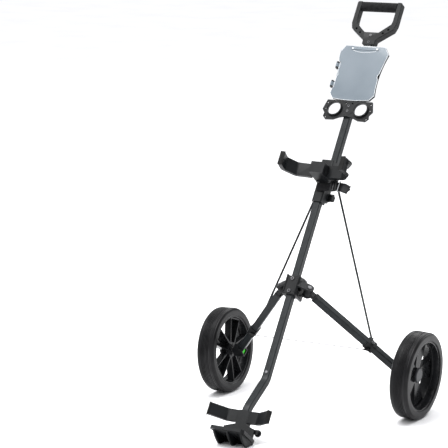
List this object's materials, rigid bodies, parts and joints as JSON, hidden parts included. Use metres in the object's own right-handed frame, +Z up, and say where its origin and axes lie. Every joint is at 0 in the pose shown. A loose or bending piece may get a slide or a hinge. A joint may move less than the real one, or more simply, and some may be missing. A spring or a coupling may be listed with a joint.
{
  "type": "golf push trolley",
  "caption": "Folding golf push trolley: leaning square tube frame, splayed rear wheels, bag cradles, loop handle with grip, scorecard panel and ball holder.",
  "frame": {"origin": "centre of the overall box, on the floor", "axes": "+X to the right wheel, +Y to the rear, away from the golf bag, +Z up"},
  "size_m": [0.6656, 0.9032, 1.0984],
  "materials": {
    "frame_paint": "satin charcoal powder coat",
    "strut_paint": "satin black paint",
    "cable_cover": "pale plastic-coated wire",
    "tread_rubber": "satin black",
    "rim_plastic": "glossy black",
    "cap_plastic": "glossy dark grey",
    "strap_webbing": "woven black webbing",
    "grip_foam": "fine foam",
    "pad_rubber": "matt",
    "clear_plastic": "smoky clear",
    "green_plastic": "satin bright green",
    "steel": "brushed",
    "dark_steel": "blackened",
    "white_plastic": "gloss white",
    "bush_plastic": "satin",
    "black_plastic": "satin black"
  },
  "bodies": {
    "frame": {"lower_tube": "frame_paint", "tube_rivet": "dark_steel", "fold_collar": "black_plastic", "fold_bolt": "steel", "bag_saddle": "black_plastic", "upper_arm_left": "black_plastic", "upper_arm_right": "black_plastic", "lower_arm_left": "black_plastic", "lower_arm_right": "black_plastic", "arm_pads": "pad_rubber", "bag_strap": "strap_webbing", "strap_buckle": "black_plastic", "foot_bracket": "black_plastic", "foot_plate": "black_plastic", "strap_hooks": "black_plastic", "hub": "black_plastic", "hub_bolts": "dark_steel", "leg_hinge_pins": "steel"},
    "lock_knob": {"lock_knob": "black_plastic"},
    "handle": {"handle_tube": "frame_paint", "handle_plug": "black_plastic", "strut_pin": "steel", "handle_loop": "black_plastic", "grip_sleeve": "grip_foam", "handle_screws": "dark_steel", "card_back": "black_plastic", "ball_tee_holder": "black_plastic"},
    "cover": {"card_cover": "clear_plastic", "card_clip": "clear_plastic", "clip_rivets": "white_plastic"},
    "leg_right": {"leg_knuckle_right": "black_plastic", "leg_tube_right": "frame_paint", "strut_clamp_right": "black_plastic", "clamp_bolt_right": "dark_steel", "axle_housing_right": "black_plastic", "axle_right": "steel", "button_spring_right": "steel", "cable_ferrule_right": "black_plastic", "leg_cable_right": "cable_cover"},
    "button_right": {"release_button_right": "green_plastic"},
    "wheel_right": {"tyre_right": "tread_rubber", "rim_right": "rim_plastic", "wheel_bush_right": "bush_plastic", "hub_cap_right": "cap_plastic"},
    "strut_right": {"strut_right": "strut_paint"},
    "leg_left": {"leg_knuckle_left": "black_plastic", "leg_tube_left": "frame_paint", "strut_clamp_left": "black_plastic", "clamp_bolt_left": "dark_steel", "axle_housing_left": "black_plastic", "axle_left": "steel", "button_spring_left": "steel", "cable_ferrule_left": "black_plastic", "leg_cable_left": "cable_cover"},
    "button_left": {"release_button_left": "green_plastic"},
    "wheel_left": {"tyre_left": "tread_rubber", "rim_left": "rim_plastic", "wheel_bush_left": "bush_plastic", "hub_cap_left": "cap_plastic"},
    "strut_left": {"strut_left": "strut_paint"}
  },
  "joints": [
    {"name": "handle_fold", "type": "hinge", "parent": "frame", "child": "handle", "pos_m": [0, 0.0988, 0.58125], "axis": [-1, 0, 0], "range_deg": [0, 180]},
    {"name": "lock_knob_turn", "type": "hinge", "parent": "frame", "child": "lock_knob", "pos_m": [0, 0.0988, 0.58125], "axis": [1, 0, 0], "range_deg": [0, 90]},
    {"name": "cover_open", "type": "hinge", "parent": "handle", "child": "cover", "pos_m": [-0.0725, 0.29385, 0.90082], "axis": [0, -0.5592, -0.829], "range_deg": [0, 110]},
    {"name": "leg_fold_right", "type": "hinge", "parent": "frame", "child": "leg_right", "pos_m": [0.039, -0.07052, 0.35168], "axis": [-0.5, 0.2951, -0.8142], "range_deg": [0, 62], "deforming": ["leg_cable_right"]},
    {"name": "strut_swing_right", "type": "hinge", "parent": "leg_right", "child": "strut_right", "pos_m": [0.17795, 0.04222, 0.20882], "axis": [0.7739, -0.4943, 0.3959], "range_deg": [0, 36.32]},
    {"name": "wheel_spin_right", "type": "hinge", "parent": "leg_right", "child": "wheel_right", "pos_m": [0.3, 0.07097, 0.12079], "axis": [0.9986, 0, -0.0523], "continuous": true},
    {"name": "release_push_right", "type": "slide", "parent": "leg_right", "child": "button_right", "axis": [0.9986, 0, -0.0523], "range_m": [0, 0.004], "stiffness_N_per_m": 600, "deforming": ["button_spring_right"]},
    {"name": "leg_fold_left", "type": "hinge", "parent": "frame", "child": "leg_left", "pos_m": [-0.039, -0.07052, 0.35168], "axis": [-0.5, -0.2951, 0.8142], "range_deg": [0, 62], "deforming": ["leg_cable_left"]},
    {"name": "strut_swing_left", "type": "hinge", "parent": "leg_left", "child": "strut_left", "pos_m": [-0.17795, 0.04222, 0.20882], "axis": [0.7739, 0.4943, -0.3959], "range_deg": [0, 36.32]},
    {"name": "wheel_spin_left", "type": "hinge", "parent": "leg_left", "child": "wheel_left", "pos_m": [-0.3, 0.07097, 0.12079], "axis": [0.9986, 0, 0.0523], "continuous": true},
    {"name": "release_push_left", "type": "slide", "parent": "leg_left", "child": "button_left", "axis": [-0.9986, 0, -0.0523], "range_m": [0, 0.004], "stiffness_N_per_m": 600, "deforming": ["button_spring_left"]}
  ],
  "couplings": [
    {"joint": "leg_fold_right", "follows": "handle_fold", "ratio": 0.34444},
    {"joint": "strut_swing_right", "follows": "handle_fold", "ratio": 0.20176},
    {"joint": "leg_fold_left", "follows": "handle_fold", "ratio": 0.34444},
    {"joint": "strut_swing_left", "follows": "handle_fold", "ratio": 0.20176}
  ]
}
